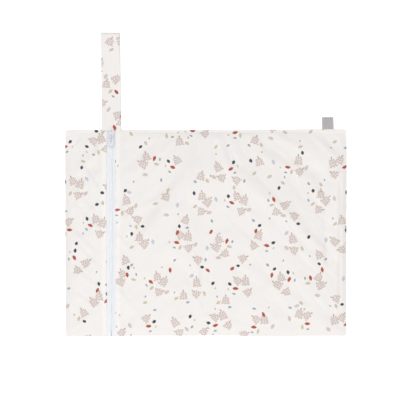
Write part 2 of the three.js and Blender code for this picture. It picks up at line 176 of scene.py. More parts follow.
def tint(name, description, *srgb):
    return FloatVectorProperty(
        name=name, description=description, default=linear(*srgb), subtype="COLOR", min=0, max=1
    )


def number(name, description, default):
    return FloatProperty(name=name, description=description, default=default)


class WETBAG_PG_cloth(bpy.types.PropertyGroup):
    """Sizes and colours of the printed cloth."""

    ply: length("Ply", "Thickness of the laminated cloth", 0.32)
    cell: length("Cell", "Spacing of the cloth's mesh lines", 1.6)
    rim: length("Rim", "Radius of the rounding at the seamed edge", 2.2)
    side_roll: length("Side Roll", "Width over which the front comes down to a side seam", 8.0)
    seam: length("Seam", "Height of the seam over the floor", 1.1)
    top_seam: length("Top Seam", "Height of the top seam over the floor", 3.0)
    corner: length("Corner", "Radius of the bag's corners in plan", 4.0)
    opening: length("Opening", "From the zip line to the folded cloth edge", 6.2)
    fold: length("Fold", "Radius of the folded cloth edge along the zip", 0.36)
    fold_sink: length("Fold Sink", "How far thin folded cloth lies below the solid's face", 1.2)
    sink: length("Sink", "How far the front lies below its solid before it is creased", 0.9)
    relief: length("Relief", "Height that creases and folds come near to together", 2.8)
    fold_depth: length("Fold Depth", "Width of the cloth turned under along the zip", 7.0)
    pucker: length("Pucker", "Height of the puckers along seams and stitching", 0.22)
    crumple: length("Crumple", "Height of the shallow folds all over the front", 1.6)
    print_cell: length("Print Cell", "Room that each printed posy has", 55.0)
    thread: length("Thread", "Spacing of the cloth's yarns", 0.42)
    colour: tint("Cloth", "Unprinted cloth", 233, 229, 226)
    doubled: tint("Doubled Cloth", "Unprinted cloth where it is folded double", 237, 234, 231)
    lining: tint("Lining", "Laminate on the inside", 232, 232, 230)
    brick: tint("Brick", "Red ink", 170, 66, 46)
    night: tint("Night", "Dark ink", 40, 54, 64)
    sand: tint("Sand", "Beige ink", 196, 182, 158)
    mist: tint("Mist", "Grey blue ink", 148, 164, 178)
    lilac: tint("Lilac", "Lilac grey ink", 188, 190, 204)
    blush: tint("Blush", "Dusty pink ink of the sprigs", 201, 183, 176)
    rose: tint("Rose", "Ink of the sprigs' tips", 190, 154, 143)
    pencil: tint("Pencil", "Ink of the fine lines", 132, 118, 114)


class WETBAG_PG_zip(bpy.types.PropertyGroup):
    """Sizes and colours of the zip and its hardware."""

    pitch: length("Pitch", "Length of one coil turn", 1.45)
    wire: length("Wire", "Radius of the coil's filament", 0.38)
    coil_height: length("Coil Height", "Thickness of the coil rows", 1.35)
    chain: length("Chain", "Width of the chain stitches over the coil", 0.58)
    overlap: length("Overlap", "How far the coil rows reach over the zip line", 0.42)
    reach: length("Reach", "How far the coil rows reach from the zip line", 2.4)
    stitch: length("Stitch", "Length of one topstitch with its gap", 3.0)
    stitch_inset: length("Stitch Inset", "From the folded cloth edge to its topstitching", 2.3)
    sewing: length("Sewing", "Thickness of the sewing thread", 0.34)
    edge: length("Edge", "Rounding of the slider's and pull's edges", 0.16)
    tape: tint("Tape", "Zip tape", 234, 237, 241)
    coil: tint("Coil", "Coil filament", 250, 252, 254)
    thread: tint("Thread", "Sewing thread", 242, 242, 243)
    paint: tint("Paint", "Slider and pull lacquer", 217, 216, 225)


class WETBAG_PG_trim(bpy.types.PropertyGroup):
    """Sizes and colours of the strap and the label."""

    strap_cell: length("Strap Cell", "Spacing of the strap's mesh lines", 1.5)
    strap_edge: length("Strap Edge", "Rounding of the strap's long edges", 0.42)
    strap_stitch: length("Strap Stitch", "From the strap's edge to its stitching", 2.4)
    label_edge: length("Label Edge", "Rounding of the label's edges", 0.3)
    label_colour: tint("Label", "Woven label", 192, 188, 188)
    label_dark: tint("Label Band", "Darker yarn of the label", 128, 124, 126)


class WETBAG_PG_stage(bpy.types.PropertyGroup):
    """Floor, lights and camera."""

    floor: length("Floor", "Half side of the floor", 24000)
    camera_height: length("Camera Height", "Camera over the bag's front", 1645)
    lens: FloatProperty(name="Lens", description="Focal length in millimetres", default=100, min=20)
    view_width: length("View Width", "Width of the floor that the photograph shows", 592)
    key_power: number("Key", "Power of the overhead light in watts", 63)
    side_power: number("Side", "Power of the low side light in watts", 16)
    world_power: number("World", "Strength of the surrounding light", 0.43)
    backdrop: number("Backdrop", "Brightness of what lies past the floor", 0.84)
    floor_glow: number("Floor Glow", "Extra white of the table behind the bag", 0.45)


def cloth():
    return bpy.context.scene.wetbag_cloth


def zipper():
    return bpy.context.scene.wetbag_zip


def trim():
    return bpy.context.scene.wetbag_trim


def smooth(value):
    clipped = np.clip(value, 0, 1)
    return clipped * clipped * (3 - 2 * clipped)


def spaced(start, end, step):
    """Evenly spaced values with both ends, no further apart than the step."""
    return np.linspace(start, end, max(math.ceil(abs(end - start) / step), 1) + 1)


class Solid:
    """Heights and edges measured on a solid of the frame."""

    def __init__(self, node):
        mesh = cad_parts[node].data
        points = [vertex.co.copy() for vertex in mesh.vertices]
        self.tree = BVHTree.FromPolygons(points, [list(face.vertices) for face in mesh.polygons])
        self.low, self.high = np.min(points, axis=0), np.max(points, axis=0)

    def cast(self, x, y, downwards):
        start = self.high[2] + MM if downwards else self.low[2] - MM
        hit = self.tree.ray_cast(Vector((x, y, start)), Vector((0, 0, -1 if downwards else 1)))[0]
        if hit is None:
            hit = self.tree.find_nearest(Vector((x, y, start)))[0]
        return hit.z

    def heights(self, xs, ys, downwards=True):
        cast = [self.cast(x, y, downwards) for x, y in zip(np.ravel(xs), np.ravel(ys))]
        return np.reshape(cast, np.shape(xs))

    def edge(self, axis, side, height, skip=5 * MM, step=4 * MM):
        """The edge on one side at a height: places along it, and where it stands at each."""
        other = 1 - axis
        inwards = Vector((0, 0, 0))
        inwards[axis] = -side
        rows = []
        for place in spaced(self.low[other] + skip, self.high[other] - skip, step):
            start = Vector((place, place, height))
            start[axis] = side
            hit = self.tree.ray_cast(start, inwards)[0]
            if hit is not None:
                rows.append((place, hit[axis]))
        return np.array(rows).T

    def sides(self):
        """A ribbon's long edges, left and right."""
        return [self.edge(0, side, RIBBON_LOW, skip=2 * MM) for side in (LEFT, RIGHT)]


BACK = Solid("back_panel")
FRONT = {RIGHT: Solid("front_panel"), LEFT: Solid("zip_side_panel")}
TAPES = {RIGHT: Solid("zip_tape_right"), LEFT: Solid("zip_tape_left")}
COILS = {RIGHT: Solid("zip_coil_right"), LEFT: Solid("zip_coil_left")}
ZIP_X = (TAPES[LEFT].high[0] + TAPES[RIGHT].low[0]) / 2
EDGES = {
    (axis, side): BACK.edge(axis, side, BACK.high[2] / 2) for axis in (0, 1) for side in (LEFT, RIGHT)
}
BODY_LOW = np.array([np.mean(EDGES[axis, LEFT][1]) for axis in (0, 1)])
BODY_HIGH = np.array([np.mean(EDGES[axis, RIGHT][1]) for axis in (0, 1)])
BODY_MIDDLE = (BODY_LOW + BODY_HIGH) / 2
BODY_HALF = (BODY_HIGH - BODY_LOW) / 2
TRIMS = {node: Solid(node) for node in ("strap_loop", "side_label")}
# Left and right edges of the strap and the label where they come out of the top seam
ROOTS = [[np.interp(BODY_HIGH[1], *edge) for edge in solid.sides()] for solid in TRIMS.values()]


def edge_distance(values, axis):
    """Distance from the nearer of the body's two edges across an axis."""
    return np.minimum(values - BODY_LOW[axis], BODY_HIGH[axis] - values)


def to_outline(xs, ys):
    """Carries points of the square-cornered plan to the bag's wandering, round-cornered outline."""
    corner = cloth().corner
    across, along = edge_distance(xs, 0), edge_distance(ys, 1)
    deep = np.clip(corner - along, 0, corner)
    inset = corner - np.sqrt(corner**2 - deep**2)
    tuck = inset * smooth(1 - across / (5 * corner)) * np.sign(xs - BODY_MIDDLE[0])
    share = (xs - BODY_LOW[0]) / (BODY_HIGH[0] - BODY_LOW[0])
    rise = (ys - BODY_LOW[1]) / (BODY_HIGH[1] - BODY_LOW[1])
    left, right = (np.interp(ys, *EDGES[0, side]) for side in (LEFT, RIGHT))
    bottom, top = (np.interp(xs, *EDGES[1, side]) for side in (LEFT, RIGHT))
    return left + (right - left) * share - tuck, bottom + (top - bottom) * rise


def between_rims(axis, step):
    return spaced(BODY_LOW[axis] + RIM_LINES[-1], BODY_HIGH[axis] - RIM_LINES[-1], step)


def rimmed(axis, middle):
    """Mesh lines across the body: close ones at both edges, and the given ones between them."""
    return np.concatenate([BODY_LOW[axis] + RIM_LINES[:-1], middle, BODY_HIGH[axis] - RIM_LINES[-2::-1]])


def body_rows():
    return rimmed(1, between_rims(1, cloth().cell))


def rim_factor(distance, radius):
    """Share of its full height that cloth keeps at a distance from the seam."""
    share = np.clip(distance / radius, 0, 1)
    return np.sqrt(1 - (1 - share) ** 2)


def seam_height(ys):
    """Height of the seam line, lowest at the bottom corners and higher along the top."""
    settings = cloth()
    return settings.seam + (settings.top_seam - settings.seam) * smooth(1 - (BODY_HIGH[1] - ys) / (14 * MM))


def under_trim(xs, ys, reach):
    """One where the strap or the label comes out of the top seam, falling to nothing beside them."""
    lifted = np.zeros(np.shape(xs))
    for left, right in ROOTS:
        away = np.maximum(left - xs, xs - right)
        lifted = np.maximum(lifted, smooth(1 - away / reach))
    return lifted * smooth(1 - (BODY_HIGH[1] - ys) / (8 * MM))


def front_seam(xs, ys):
    """Height of the front cloth's edge, which the strap and the label lift."""
    seam = seam_height(ys)
    return seam + (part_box("side_label")[1][2] - seam) * under_trim(xs, ys, ROOT_REACH)


def ripple(along, wavelengths, phase=0.0):
    """A wandering wave of unit height made from a few wavelengths in metres."""
    total = sum(
        np.sin(2 * math.pi * along / wave + phase + 1.7 * i) for i, wave in enumerate(wavelengths)
    )
    return total / len(wavelengths)


def creases(xs, ys):
    height = np.zeros(np.shape(xs))
    for first, last, widths, rise in CREASES:
        start = np.array(first) * BODY_HALF + BODY_MIDDLE
        run = np.array(last) * BODY_HALF + BODY_MIDDLE - start
        along = ((xs - start[0]) * run[0] + (ys - start[1]) * run[1]) / (run @ run)
        held = np.clip(along, 0, 1)
        across = ((xs - start[0]) * run[1] - (ys - start[1]) * run[0]) / np.hypot(*run)
        away = np.hypot(xs - start[0] - held * run[0], ys - start[1] - held * run[1])
        left, right = (width * MM for width in widths)
        width = left + (right - left) * smooth(0.5 + across / (left + right))
        fade = 0.45 + 0.55 * smooth(held * 4) * smooth((1 - held) * 4)
        height += rise * MM * fade * np.exp(-((away / width) ** 2))
    return height


def crumple(xs, ys):
    """Long shallow folds that lean towards the middle of the top edge, with sharp wrinkles between them."""
    height = np.zeros(xs.size)
    lean = np.tanh((xs - BODY_MIDDLE[0]) / (40 * MM)).ravel()
    for i, (x, y, slant) in enumerate(zip(xs.ravel(), ys.ravel(), lean)):
        along = (y - slant * x) / (70 * MM)
        across = (x + slant * y) / (24 * MM)
        broad = noise.noise(Vector((across, along, 0.5)))
        sharp = abs(noise.noise(Vector((1.9 * across, 1.7 * along, 4.5))))
        fine = abs(noise.noise(Vector((4.1 * across, 3.4 * along, 9.5))))
        height[i] = broad + 0.45 * (0.3 - sharp) + 0.2 * (0.3 - fine)
    return height.reshape(xs.shape)


def puckers(xs, ys, side):
    """Small waves that the seam and the zip's stitching draw into the cloth."""
    settings = cloth()
    ends = edge_distance(ys, 1)
    outer = np.minimum(BODY_HIGH[0] - xs if side == RIGHT else xs - BODY_LOW[0], ends)
    along = np.where(ends <= outer, xs, ys)
    seam = ripple(along, (0.0112, 0.0171, 0.0263)) * np.exp(-outer / (9 * MM)) * smooth(outer / (3 * MM))
    away = np.abs(xs - ZIP_X)
    line = settings.opening + zipper().stitch_inset
    beside = np.exp(-np.abs(away - line) / (6 * MM))
    zipped = ripple(ys, (0.0083, 0.0127, 0.0192), phase=side) * beside * 0.8
    groove = -0.14 * MM * np.exp(-(((away - line) / (0.9 * MM)) ** 2))
    inside = smooth((outer - 3 * MM) / (10 * MM)) * smooth((away - 11 * MM) / (8 * MM))
    return settings.pucker * (seam + zipped) + groove + settings.crumple * crumple(xs, ys) * inside


def set_grid(mesh, place):
    """Moves a grid made by create_grid: place gets each vertex's column and row and gives its spot."""
    points = np.array([vertex.co[:2] for vertex in mesh.verts])
    spans = points.max(axis=0) - points.min(axis=0)
    columns, rows = (len(np.unique(points[:, i].round(5))) - 1 for i in (0, 1))
    shares = (points - points.min(axis=0)) / spans
    index = np.rint(shares * (columns, rows)).astype(int)
    for vertex, (column, row) in zip(mesh.verts, index):
        vertex.co = place(column, row)
    return index


def cloth_grid(xs, ys, zs, us, vs, doubled=None):
    """A cloth grid through 2-D arrays of places, with a UV map in metres and a share of doubled cloth."""
    mesh = bmesh.new()
    columns, rows = xs.shape
    bmesh.ops.create_grid(mesh, x_segments=columns - 1, y_segments=rows - 1, size=1)
    index = set_grid(mesh, lambda i, j: (xs[i, j], ys[i, j], zs[i, j]))
    layer = mesh.loops.layers.uv.new("cloth")
    for face in mesh.faces:
        for loop in face.loops:
            i, j = index[loop.vert.index]
            loop[layer].uv = (us[i, j], vs[i, j])
    if doubled is not None:
        share = mesh.verts.layers.float.new("doubled")
        for vertex, (i, _) in zip(mesh.verts, index):
            vertex[share] = doubled[i]
    return mesh


def linked(name, data):
    """A new object with that data, in the scene."""
    thing = bpy.data.objects.new(name, data)
    bpy.context.scene.collection.objects.link(thing)
    return thing


def mesh_data(name, mesh):
    data = bpy.data.meshes.new(name)
    mesh.to_mesh(data)
    mesh.free()
    return data


def add_piece(name, mesh, materials, body, node=None):
    """Links a finished bmesh as a smooth-shaded piece that rides on a body of the frame."""
    for face in mesh.faces:
        face.smooth = True
    piece = linked(name, mesh_data(name, mesh))
    for look in materials:
        piece.data.materials.append(look)
    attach(piece, body)
    if node:
        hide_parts(node)
    return piece


def repeated(shape, places):
    """A mesh of one small shape set at many places, each given as a matrix."""
    pattern = mesh_data("pattern", shape)
    mesh = bmesh.new()
    for place in places:
        copy = pattern.copy()
        copy.transform(place)
        mesh.from_mesh(copy)
        bpy.data.meshes.remove(copy)
    bpy.data.meshes.remove(pattern)
    return mesh


def beads(places):
    """A mesh of round-ended stitches, each given as a matrix."""
    bead = bmesh.new()
    bmesh.ops.create_uvsphere(bead, u_segments=8, v_segments=5, radius=0.5)
    return repeated(bead, places)


def solidify(piece, thickness, lined=False):
    wall = piece.modifiers.new("Wall", "SOLIDIFY")
    wall.thickness = thickness
    wall.offset = -1
    wall.use_even_offset = False
    wall.use_quality_normals = True
    if lined:
        wall.material_offset = 1
        wall.material_offset_rim = 0


def bevel(piece, width, segments=3, degrees=40):
    edge = piece.modifiers.new("Edge", "BEVEL")
    edge.width = width
    edge.segments = segments
    edge.limit_method = "ANGLE"
    edge.angle_limit = math.radians(degrees)
    edge.profile = 0.5


class Graph:
    """Adds nodes to a tree; a value is a number, a colour, a vector or another node's output."""

    def __init__(self, tree):
        self.tree = tree

    def feed(self, socket, value):
        if isinstance(value, bpy.types.NodeSocket):
            self.tree.links.new(value, socket)
        elif socket.type == "RGBA" and len(value) == 3:
            socket.default_value = (*value, 1)
        else:
            socket.default_value = value

    def add(self, kind, inputs=(), **settings):
        node = self.tree.nodes.new(kind)
        for key, value in settings.items():
            setattr(node, key, value)
        for key, value in dict(inputs).items():
            self.feed(node.inputs[key], value)
        return node

    def math(self, operation, *values, clamp=False):
        node = self.add("ShaderNodeMath", operation=operation, use_clamp=clamp)
        for socket, value in zip(node.inputs, values):
            self.feed(socket, value)
        return node.outputs[0]

    def times(self, *values, clamp=False):
        return self.math("MULTIPLY", *values, clamp=clamp)

    def plus(self, *values):
        return self.math("ADD", *values)

    def minus(self, *values):
        return self.math("SUBTRACT", *values)

    def times_plus(self, *values, clamp=False):
        return self.math("MULTIPLY_ADD", *values, clamp=clamp)

    def vector(self, operation, *values):
        inputs = dict(enumerate(values))
        return self.add("ShaderNodeVectorMath", inputs, operation=operation).outputs[0]

    def scaled(self, vector, factor):
        return self.add("ShaderNodeVectorMath", {0: vector, 3: factor}, operation="SCALE").outputs[0]

    def mix(self, factor, first, second):
        node = self.add("ShaderNodeMix", data_type="RGBA")
        for index, value in ((0, factor), (6, first), (7, second)):
            self.feed(node.inputs[index], value)
        return node.outputs[2]

    def split(self, vector):
        return self.add("ShaderNodeSeparateXYZ", {"Vector": vector}).outputs

    def join(self, x, y, z=0.0):
        return self.add("ShaderNodeCombineXYZ", {"X": x, "Y": y, "Z": z}).outputs[0]

    def turn(self, vector, angle):
        inputs = {"Vector": vector, "Angle": angle}
        return self.add("ShaderNodeVectorRotate", inputs, rotation_type="Z_AXIS").outputs[0]

    def noise(self, vector, scale, detail=2.0):
        inputs = {"Vector": vector, "Scale": scale, "Detail": detail, "Roughness": 0.5}
        return self.add("ShaderNodeTexNoise", inputs).outputs[0]

    def use(self, name, **inputs):
        """Places a node group; an input's name has underscores for its spaces."""
        node = self.add("ShaderNodeGroup", node_tree=bpy.data.node_groups[name])
        for key, value in inputs.items():
            self.feed(node.inputs[key.replace("_", " ")], value)
        return node.outputs


SOCKETS = {"value": "NodeSocketFloat", "vector": "NodeSocketVector", "colour": "NodeSocketColor"}


def start_group(name, inputs, outputs):
    """A new node group with named sockets: gives its graph, its inputs by name, and its end node."""
    tree = bpy.data.node_groups.new(name, "ShaderNodeTree")
    for label, kind in inputs.items():
        tree.interface.new_socket(label, in_out="INPUT", socket_type=SOCKETS[kind])
    for label, kind in outputs.items():
        tree.interface.new_socket(label, in_out="OUTPUT", socket_type=SOCKETS[kind])
    graph = Graph(tree)
    sockets = graph.add("NodeGroupInput").outputs
    end = graph.add("NodeGroupOutput")
    return graph, {label: sockets[label] for label in inputs}, end


def leaf_group():
    """A pointed leaf about its own middle: one inside, nothing outside."""
    inputs = {"Vector": "vector", "Half Length": "value", "Half Width": "value"}
    graph, given, end = start_group("Leaf Mask", inputs, {"Mask": "value"})
    x, y, _ = graph.split(given["Vector"])
    share = graph.math("DIVIDE", y, given["Half Length"])
    taper = graph.minus(1.0, graph.times(share, share))
    room = graph.times_plus(given["Half Width"], taper, graph.times(graph.math("ABSOLUTE", x), -1.0))
    graph.feed(end.inputs["Mask"], graph.times(room, 3.5, clamp=True))


def lattice_group():
    """Half-drop cells: a point's place from its cell's shifted middle, and the cell's own random values."""
    inputs = {"Vector": "vector", "Cell": "value", "Jitter": "value", "Seed": "value"}
    graph, given, end = start_group("Half Drop Lattice", inputs, {"Local": "vector", "Random": "colour"})
    x, y, _ = graph.split(given["Vector"])
    row = graph.math("DIVIDE", y, given["Cell"])
    row_index = graph.math("FLOOR", row)
    drop = graph.times(graph.math("MODULO", graph.math("ABSOLUTE", row_index), 2.0), 0.5)
    column = graph.plus(graph.math("DIVIDE", x, given["Cell"]), drop)
    column_index = graph.math("FLOOR", column)
    spot = graph.join(column_index, row_index, given["Seed"])
    random = graph.add("ShaderNodeTexWhiteNoise", {"Vector": spot}, noise_dimensions="3D").outputs["Color"]
    swapped = graph.join(row_index, column_index, given["Seed"])
    shift = graph.add("ShaderNodeTexWhiteNoise", {"Vector": swapped})
    shift_x, shift_y, _ = graph.split(shift.outputs["Color"])
    local = []
    for place, index, moved in ((column, column_index, shift_x), (row, row_index, shift_y)):
        middle = graph.minus(graph.minus(place, index), 0.5)
        off = graph.times(graph.minus(moved, 0.5), given["Jitter"])
        local.append(graph.minus(graph.times(middle, given["Cell"]), off))
    graph.feed(end.inputs["Local"], graph.join(*local))
    graph.feed(end.inputs["Random"], random)


def sprig_group():
    """A stem with paired leaflets and a leaf at its tip."""
    outputs = {"Leaves": "value", "Stem": "value", "Tips": "value"}
    inputs = {"Vector": "vector", "Half Length": "value", "Pitch": "value"}
    graph, given, end = start_group("Sprig Mask", inputs, outputs)
    x, y, _ = graph.split(given["Vector"])
    half, pitch = given["Half Length"], given["Pitch"]
    bend = graph.times(graph.times(y, y), 0.014)
    bent = graph.minus(x, bend)
    aside = graph.math("ABSOLUTE", bent)
    step = graph.math("DIVIDE", graph.minus(y, graph.times(aside, 0.75)), pitch)
    phase = graph.minus(graph.math("FRACT", step), 0.5)
    across = graph.times(phase, graph.times(pitch, 0.84))
    taper = graph.times_plus(graph.math("DIVIDE", y, half), -0.75, 2.75)
    leaflet = graph.join(across, graph.minus(aside, graph.times_plus(taper, 0.9, 0.35)))
    paired = graph.use("Leaf Mask", Vector=leaflet, Half_Length=taper, Half_Width=1.6)[0]
    inside = graph.math("LESS_THAN", graph.math("ABSOLUTE", graph.plus(y, 0.9)), graph.times(half, 0.68))
    top = graph.join(bent, graph.minus(y, graph.times(half, 0.78)))
    crown = graph.use("Leaf Mask", Vector=top, Half_Length=2.9, Half_Width=1.4)[0]
    leaves = graph.math("MAXIMUM", graph.times(paired, inside), crown)
    on_stem = graph.times(graph.minus(0.36, aside), 4.0, clamp=True)
    short = graph.math("LESS_THAN", graph.math("ABSOLUTE", y), graph.times(half, 0.92))
    graph.feed(end.inputs["Leaves"], leaves)
    graph.feed(end.inputs["Stem"], graph.times(on_stem, short))
    graph.feed(end.inputs["Tips"], graph.times(graph.minus(aside, 3.7), 0.5, clamp=True))


def placed(graph, vector, place, turn):
    """A point's place seen from a motif that is set down and turned."""
    return graph.turn(graph.vector("SUBTRACT", vector, (*place, 0)), turn)


def print_group():
    """Posies of leaves and sprigs in flat inks on plain cloth; the vector is in millimetres."""
    inputs = {"Vector": "vector", "Cell": "value", "Cloth": "colour", **{ink: "colour" for ink in INKS}}
    graph, given, end = start_group("Botanical Print", inputs, {"Color": "colour"})
    wobble = graph.add("ShaderNodeTexNoise", {"Vector": given["Vector"], "Scale": 0.3, "Detail": 2.0})
    nudged = graph.vector("SUBTRACT", wobble.outputs["Color"], (0.5, 0.5, 0.5))
    vector = graph.vector("MULTIPLY_ADD", nudged, (1.6, 1.6, 0), given["Vector"])
    wash = graph.times_plus(graph.noise(vector, 0.7, 3.0), 0.5, 0.62, clamp=True)
    solid = graph.times_plus(wash, 0.2, 0.8, clamp=True)
    base = given["Cloth"]
    layers = ((3.0, (0, 0, 0), PRINT_POSY), (11.0, (27.5, 29, 0), PRINT_SCATTER))
    for seed, offset, (leaves, sprigs) in layers:
        shifted = graph.vector("ADD", vector, offset)
        local, random = graph.use(
            "Half Drop Lattice", Vector=shifted, Cell=given["Cell"], Jitter=11.0, Seed=seed
        )
        first, second, third = graph.split(random)
        x, y, _ = graph.split(graph.turn(local, graph.times_plus(first, 1.7, -0.85)))
        mirror = graph.times_plus(graph.math("GREATER_THAN", second, 0.5), 2.0, -1.0)
        spot = graph.join(graph.times(x, mirror), y)
        for i, (place, turn, length, share) in enumerate(sprigs):
            chance = graph.math("FRACT", graph.times_plus(third, 7.0, 0.31 * i))
            shown = graph.math("LESS_THAN", chance, share)
            seen = placed(graph, spot, place, turn)
            sprig = graph.use("Sprig Mask", Vector=seen, Half_Length=length, Pitch=3.7)
            colour = graph.mix(sprig["Tips"], given["Blush"], given["Rose"])
            base = graph.mix(graph.times(graph.times(sprig["Leaves"], shown), wash), base, colour)
            base = graph.mix(graph.times(sprig["Stem"], shown), base, given["Pencil"])
        for i, (ink, place, turn, (length, width), share) in enumerate(leaves):
            chance = graph.math("FRACT", graph.times_plus(second, 9.0, 0.37 * i))
            shown = graph.math("LESS_THAN", chance, share)
            seen = placed(graph, spot, place, turn)
            leaf = graph.use("Leaf Mask", Vector=seen, Half_Length=length, Half_Width=width)[0]
            cover = solid if ink in ("Brick", "Night", "Mist") else wash
            base = graph.mix(graph.times(graph.times(leaf, shown), cover), base, given[ink])
    graph.feed(end.inputs["Color"], base)


def weave_group():
    """Plain weave as a height: yarns pass over and under each other at a spacing in millimetres."""
    inputs = {"Vector": "vector", "Thread": "value"}
    graph, given, end = start_group("Plain Weave", inputs, {"Height": "value"})
    x, y, _ = graph.split(given["Vector"])
    waves = []
    for place in (x, y):
        turn = graph.times(graph.math("DIVIDE", place, given["Thread"]), math.pi)
        waves.append(graph.math("SINE", turn))
    cross = graph.times(*waves)
    uneven = graph.times_plus(graph.noise(given["Vector"], 1.1), 0.6, -0.3)
    graph.feed(end.inputs["Height"], graph.plus(graph.times_plus(cross, 0.5, 0.5), uneven))


def tone_group():
    """Slight cloudy change of a colour, as in washed or handled material."""
    inputs = {"Vector": "vector", "Color": "colour", "Amount": "value", "Scale": "value"}
    graph, given, end = start_group("Cloudy Tone", inputs, {"Color": "colour"})
    cloud = graph.noise(given["Vector"], given["Scale"], 3.0)
    shade = graph.times_plus(graph.minus(cloud, 0.5), given["Amount"], 1.0)
    graph.feed(end.inputs["Color"], graph.scaled(given["Color"], shade))


def start_material(name, roughness, **sockets):
    look = bpy.data.materials.new(name)
    look.use_nodes = True
    shader = look.node_tree.nodes["Principled BSDF"]
    for key, value in {"Roughness": roughness, **sockets}.items():
        shader.inputs[key.replace("_", " ")].default_value = value
    return look, Graph(look.node_tree), shader


def uv_millimetres(graph):
    return graph.scaled(graph.add("ShaderNodeUVMap", uv_map="cloth").outputs[0], 1 / MM)


def bump(graph, shader, height, distance):
    inputs = {"Height": height, "Distance": distance, "Strength": 1.0}
    graph.feed(shader.inputs["Normal"], graph.add("ShaderNodeBump", inputs).outputs[0])


def clouded(graph, vector, colour, amount, scale):
    return graph.use("Cloudy Tone", Vector=vector, Color=colour, Amount=amount, Scale=scale)[0]


def even_material(name, roughness, colour, amount, scale, **sockets):
    """A material of one slightly cloudy colour, with its graph, its shader and its place in millimetres."""
    look, graph, shader = start_material(name, roughness, **sockets)
    vector = graph.scaled(graph.add("ShaderNodeTexCoord").outputs["Object"], 1 / MM)
    graph.feed(shader.inputs["Base Color"], clouded(graph, vector, colour, amount, scale))
    return look, graph, shader, vector


def printed_cloth(name):
    settings = cloth()
    look, graph, shader = start_material(name, 0.82, Sheen_Weight=0.12, Sheen_Roughness=0.5)
    vector = uv_millimetres(graph)
    doubled = graph.add("ShaderNodeAttribute", attribute_name="doubled").outputs["Fac"]
    plain = clouded(graph, vector, graph.mix(doubled, settings.colour, settings.doubled), 0.03, 0.05)
    inks = {ink: getattr(settings, ink.lower()) for ink in INKS}
    printed = graph.use("Botanical Print", Vector=vector, Cell=settings.print_cell / MM, Cloth=plain, **inks)
    graph.feed(shader.inputs["Base Color"], printed["Color"])
    weave = graph.use("Plain Weave", Vector=vector, Thread=settings.thread / MM)[0]
    crinkle = graph.times(graph.noise(vector, 0.11, 3.0), 5.0)
    bump(graph, shader, graph.plus(weave, crinkle), 0.035 * MM)
    return look


def laminate(name):
    look, graph, shader, vector = even_material(name, 0.42, cloth().lining, 0.04, 0.08, Coat_Weight=0.15)
    bump(graph, shader, graph.noise(vector, 0.9, 3.0), 0.05 * MM)
    return look


def woven(name, colour, rib):
    """A narrow woven tape whose ribs slant one way and back in a herringbone."""
    look, graph, shader = start_material(name, 0.9, Sheen_Weight=0.1)
    vector = uv_millimetres(graph)
    x, y, _ = graph.split(vector)
    slant = graph.times(graph.plus(y, graph.math("PINGPONG", x, 1.6)), 2 * math.pi / rib)
    ribs = graph.times_plus(graph.math("SINE", slant), 0.5, 0.5)
    # Painted shade: the tape's colour is up to 5 % darker in the troughs between the ribs, where the bump
    # height is low.
    shade = graph.times_plus(ribs, 0.05, 0.95)
    graph.feed(shader.inputs["Base Color"], graph.scaled(clouded(graph, vector, colour, 0.05, 0.3), shade))
    bump(graph, shader, ribs, 0.08 * MM)
    return look


def filament(name):
    look, graph, shader, vector = even_material(name, 0.38, zipper().coil, 0.06, 0.4)
    bump(graph, shader, graph.noise(vector, 6.0), 0.02 * MM)
    return look


def lacquer(name):
    """Pale lacquer on cast metal: fine orange peel, and duller where it is handled."""
    look, graph, shader, vector = even_material(
        name, 0.3, zipper().paint, 0.12, 0.6, Coat_Weight=0.35, Coat_Roughness=0.15
    )
    graph.feed(shader.inputs["Roughness"], graph.times_plus(graph.noise(vector, 0.7, 4.0), 0.25, 0.2))
    bump(graph, shader, graph.noise(vector, 2.4), 0.02 * MM)
    return look


def sewing_thread(name, colour):
    look, graph, shader, vector = even_material(name, 0.7, colour, 0.05, 1.5, Sheen_Weight=0.2)
    x, y, _ = graph.split(vector)
    twist = graph.math("SINE", graph.times(graph.plus(y, graph.times(x, 1.4)), 14.0))
    bump(graph, shader, twist, 0.03 * MM)
    return look


def label_weave(name):
    """Close grey weave with small diamonds all over it in a darker yarn."""
    settings = trim()
    look, graph, shader = start_material(name, 0.88, Sheen_Weight=0.1)
    vector = uv_millimetres(graph)
    x, y, _ = graph.split(vector)
    slants = [graph.math("PINGPONG", graph.math(kind, x, y), 1.33) for kind in ("ADD", "SUBTRACT")]
    line = graph.times(graph.minus(0.32, graph.math("MINIMUM", *slants)), 5.0, clamp=True)
    margin = graph.times(graph.minus(6.6, graph.math("ABSOLUTE", x)), 5.0, clamp=True)
    diamonds = graph.times(graph.times(line, margin), 0.7)
    weave = graph.use("Plain Weave", Vector=vector, Thread=0.5)[0]
    grey = clouded(graph, vector, settings.label_colour, 0.2, 1.2)
    flecked = graph.mix(graph.times(weave, 0.3), grey, settings.label_dark)
    graph.feed(shader.inputs["Base Color"], graph.mix(diamonds, flecked, settings.label_dark))
    bump(graph, shader, weave, 0.07 * MM)
    return look


def material(name, make, *details):
    """The material of that name, made the first time that it is asked for."""
    return bpy.data.materials.get(name) or make(name, *details)


def cloth_materials():
    return [material("printed_cloth", printed_cloth), material("laminate", laminate)]


